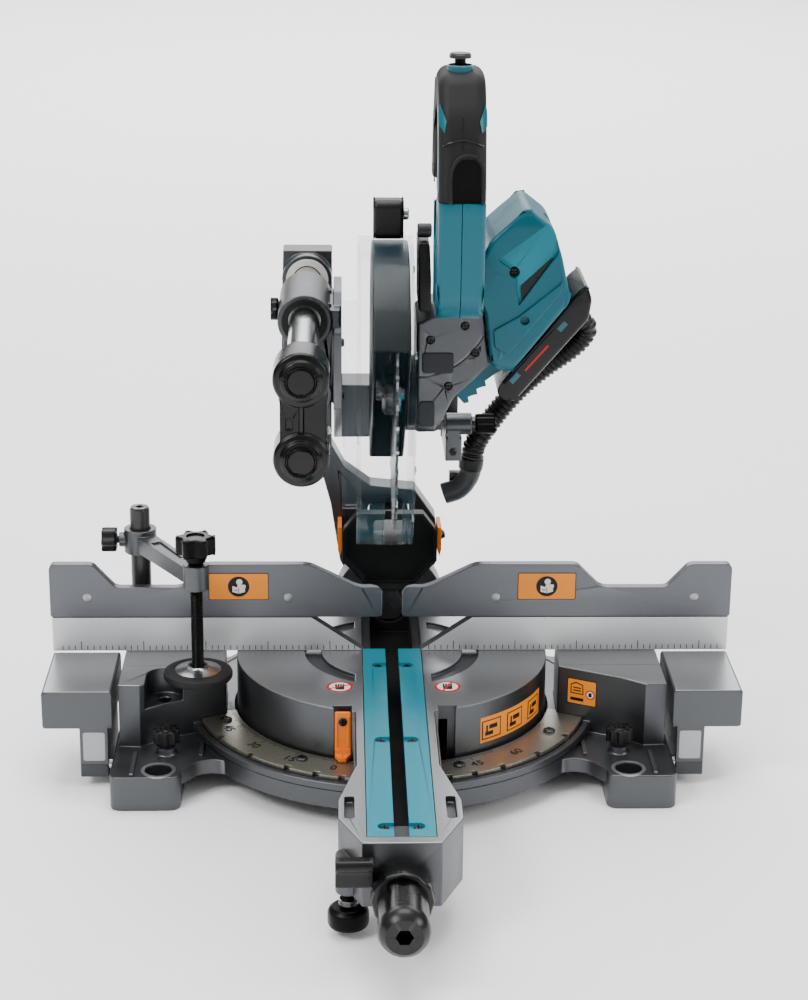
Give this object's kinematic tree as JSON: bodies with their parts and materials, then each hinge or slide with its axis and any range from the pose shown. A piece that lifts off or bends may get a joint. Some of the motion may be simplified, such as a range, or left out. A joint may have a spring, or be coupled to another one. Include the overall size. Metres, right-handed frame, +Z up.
{
  "type": "sliding compound mitre saw",
  "caption": "Sliding compound mitre saw with a rotating table, split fence, twin slide rails, clear blade guard, D-handle, angled battery motor and a hold-down vise.",
  "frame": {"origin": "on the bench under the middle of the saw's overall box, at the underside of the feet", "axes": "+Z up, -Y towards the operator along the turntable arm, +X to the operator's right along the fence"},
  "size_m": [0.548, 0.597, 0.5715],
  "materials": {
    "cast_aluminium": "satin machined and cast aluminium",
    "dark_cast": "grey painted casting",
    "steel": "bright ground steel",
    "scale_steel": "satin beige-grey steel",
    "black_steel": "black oxide steel",
    "black_plastic": "textured black nylon",
    "rubber": "soft black rubber",
    "teal_plastic": "moulded teal nylon",
    "orange_plastic": "moulded orange plastic",
    "clear_guard": "clear polycarbonate"
  },
  "bodies": {
    "base": {"base_casting": "cast_aluminium", "mitre_scale_plate": "scale_steel", "turntable_pivot_bolt": "black_steel", "lower_fence_left": "cast_aluminium", "lower_fence_right": "cast_aluminium"},
    "fence_left": {"upper_fence_left": "cast_aluminium"},
    "fence_right": {"upper_fence_right": "cast_aluminium"},
    "fence_knob_left": {"fence_clamp_knob_left": "black_plastic"},
    "fence_knob_right": {"fence_clamp_knob_right": "black_plastic"},
    "extension_left": {"extension_table_left": "cast_aluminium", "extension_rod_left": "steel"},
    "extension_right": {"extension_table_right": "cast_aluminium", "extension_rod_right": "steel"},
    "table_knob_left": {"table_lock_knob_left": "black_plastic"},
    "table_knob_right": {"table_lock_knob_right": "black_plastic"},
    "vise_post": {"vise_rod": "black_steel"},
    "vise_clamp_arm": {"vise_arm": "cast_aluminium"},
    "vise_side_knob": {"vise_arm_knob": "black_plastic"},
    "vise_foot": {"vise_pad": "rubber"},
    "vise_spindle": {"vise_screw": "black_steel"},
    "table": {"turntable": "cast_aluminium", "mitre_pointer": "orange_plastic", "kerf_board_left": "teal_plastic", "kerf_board_right": "teal_plastic", "bevel_pivot_bolt": "steel"},
    "mitre_grip": {"mitre_lock_grip": "black_plastic"},
    "detent": {"detent_lever": "black_plastic"},
    "arm_foot": {"arm_foot_screw": "black_steel"},
    "bevel_lever": {"bevel_lock_lever": "black_plastic"},
    "bevel": {"bevel_arm": "cast_aluminium", "dust_funnel": "rubber", "bevel_pointer_left": "orange_plastic", "bevel_pointer_right": "orange_plastic", "rail_upper": "steel", "rail_lower": "steel", "rail_front_cap": "black_plastic"},
    "slider": {"carriage": "cast_aluminium", "linear_bearing": "steel", "head_pivot_shaft": "steel", "dust_elbow": "dark_cast"},
    "slide_knob": {"slide_lock_knob": "black_plastic"},
    "depth_stop": {"depth_stop_screw": "black_steel"},
    "head": {"gear_case": "cast_aluminium", "motor_housing": "teal_plastic", "motor_stator": "black_steel", "upper_blade_case": "black_plastic", "handle_shell_left": "teal_plastic", "handle_shell_right": "teal_plastic", "handle_grip": "rubber", "dust_hose": "rubber"},
    "battery_pack": {"battery": "black_plastic"},
    "rotor": {"motor_rotor": "steel"},
    "blade": {"saw_blade": "steel", "arbor_spindle": "steel", "arbor_bolt": "black_steel", "drive_gear": "steel"},
    "guard": {"lower_guard": "clear_guard", "guard_lift_lug": "black_plastic"},
    "switch_trigger": {"trigger": "black_plastic"},
    "lock_off": {"lock_off_button": "black_plastic"}
  },
  "joints": [
    {"name": "mitre_turn", "type": "hinge", "parent": "base", "child": "table", "pos_m": [0, 0.1085, 0.08], "axis": [0, 0, 1], "range_deg": [-60, 60]},
    {"name": "bevel_tilt", "type": "hinge", "parent": "table", "child": "bevel", "pos_m": [0, 0.2565, 0.08], "axis": [0, 1, 0], "range_deg": [-30, 3]},
    {"name": "carriage_slide", "type": "slide", "parent": "bevel", "child": "slider", "axis": [0, -1, 0], "range_m": [-0.01, 0.13]},
    {"name": "head_chop", "type": "hinge", "parent": "slider", "child": "head", "pos_m": [0, 0.2665, 0.24], "axis": [1, 0, 0], "range_deg": [0, 40], "stiffness_Nm_per_rad": 22, "springref_deg": -74.48, "deforming": ["dust_hose"]},
    {"name": "guard_retract", "type": "hinge", "parent": "head", "child": "guard", "pos_m": [0, 0.0945, 0.303], "axis": [1, 0, 0], "range_deg": [-121, 0]},
    {"name": "blade_spin", "type": "hinge", "parent": "head", "child": "blade", "pos_m": [0, 0.0945, 0.303], "axis": [1, 0, 0], "continuous": true},
    {"name": "rotor_spin", "type": "hinge", "parent": "head", "child": "rotor", "pos_m": [0.09, 0.0945, 0.396], "axis": [0.6198, 0, 0.7848], "continuous": true},
    {"name": "battery_release", "type": "slide", "parent": "head", "child": "battery_pack", "axis": [0.6181, 0, 0.7861], "range_m": [0, 0.085]},
    {"name": "trigger_pull", "type": "slide", "parent": "head", "child": "switch_trigger", "axis": [0, -1, 0], "range_m": [0, 0.006], "stiffness_N_per_m": 300, "springref_m": -0.004},
    {"name": "lock_off_press", "type": "slide", "parent": "head", "child": "lock_off", "axis": [0, 0, -1], "range_m": [0, 0.005], "stiffness_N_per_m": 300, "springref_m": -0.004},
    {"name": "extension_slide_left", "type": "slide", "parent": "base", "child": "extension_left", "axis": [-1, 0, 0], "range_m": [0, 0.06]},
    {"name": "fence_slide_left", "type": "slide", "parent": "base", "child": "fence_left", "axis": [-1, 0, 0], "range_m": [0, 0.05]},
    {"name": "fence_knob_turn_left", "type": "hinge", "parent": "base", "child": "fence_knob_left", "pos_m": [-0.154, 0.1245, 0.094], "axis": [0, 1, 0], "range_deg": [0, 180]},
    {"name": "table_knob_turn_left", "type": "hinge", "parent": "base", "child": "table_knob_left", "pos_m": [-0.177, 0.0265, 0.04], "axis": [0, 0, 1], "range_deg": [0, 180]},
    {"name": "extension_slide_right", "type": "slide", "parent": "base", "child": "extension_right", "axis": [1, 0, 0], "range_m": [0, 0.06]},
    {"name": "fence_slide_right", "type": "slide", "parent": "base", "child": "fence_right", "axis": [1, 0, 0], "range_m": [0, 0.05]},
    {"name": "fence_knob_turn_right", "type": "hinge", "parent": "base", "child": "fence_knob_right", "pos_m": [0.154, 0.1245, 0.094], "axis": [0, 1, 0], "range_deg": [0, 180]},
    {"name": "table_knob_turn_right", "type": "hinge", "parent": "base", "child": "table_knob_right", "pos_m": [0.177, 0.0265, 0.04], "axis": [0, 0, 1], "range_deg": [0, 180]},
    {"name": "vise_swivel", "type": "hinge", "parent": "base", "child": "vise_post", "pos_m": [-0.203, 0.1385, 0.08], "axis": [0, 0, -1], "range_deg": [-12, 35]},
    {"name": "vise_lift", "type": "slide", "parent": "vise_post", "child": "vise_clamp_arm", "axis": [0, 0, 1], "range_m": [0, 0.015]},
    {"name": "vise_side_knob_turn", "type": "hinge", "parent": "vise_clamp_arm", "child": "vise_side_knob", "pos_m": [-0.22, 0.1385, 0.165], "axis": [1, 0, 0], "range_deg": [0, 180]},
    {"name": "vise_pad_travel", "type": "slide", "parent": "vise_clamp_arm", "child": "vise_foot", "axis": [0, 0, 1], "range_m": [0, 0.045]},
    {"name": "vise_screw_turn", "type": "hinge", "parent": "vise_foot", "child": "vise_spindle", "pos_m": [-0.153, 0.0535, 0.08], "axis": [0, 0, 1], "range_deg": [0, 3241]},
    {"name": "mitre_lock_turn", "type": "hinge", "parent": "table", "child": "mitre_grip", "pos_m": [0, -0.2615, 0.048], "axis": [0, 1, 0], "range_deg": [0, 120]},
    {"name": "detent_press", "type": "hinge", "parent": "table", "child": "detent", "pos_m": [-0.032, -0.2325, 0.052], "axis": [1, 0, 0], "range_deg": [0, 12], "stiffness_Nm_per_rad": 0.6, "springref_deg": -14.32},
    {"name": "arm_foot_adjust", "type": "slide", "parent": "table", "child": "arm_foot", "axis": [0, 0, 1], "range_m": [-0.0055, 0.006]},
    {"name": "bevel_lever_turn", "type": "hinge", "parent": "table", "child": "bevel_lever", "pos_m": [0, 0.2915, 0.08], "axis": [0, 1, 0], "range_deg": [0, 50]},
    {"name": "slide_knob_turn", "type": "hinge", "parent": "slider", "child": "slide_knob", "pos_m": [-0.09, 0.1325, 0.358], "axis": [1, 0, 0], "range_deg": [0, 180]},
    {"name": "depth_stop_turn", "type": "hinge", "parent": "slider", "child": "depth_stop", "pos_m": [0.06, 0.1885, 0.248], "axis": [1, 0, 0], "range_deg": [0, 180]}
  ],
  "couplings": [
    {"joint": "guard_retract", "follows": "head_chop", "ratio": -3},
    {"joint": "rotor_spin", "follows": "blade_spin", "ratio": -3.4286},
    {"joint": "vise_screw_turn", "follows": "vise_pad_travel", "rad_per_m": 1256.6}
  ]
}
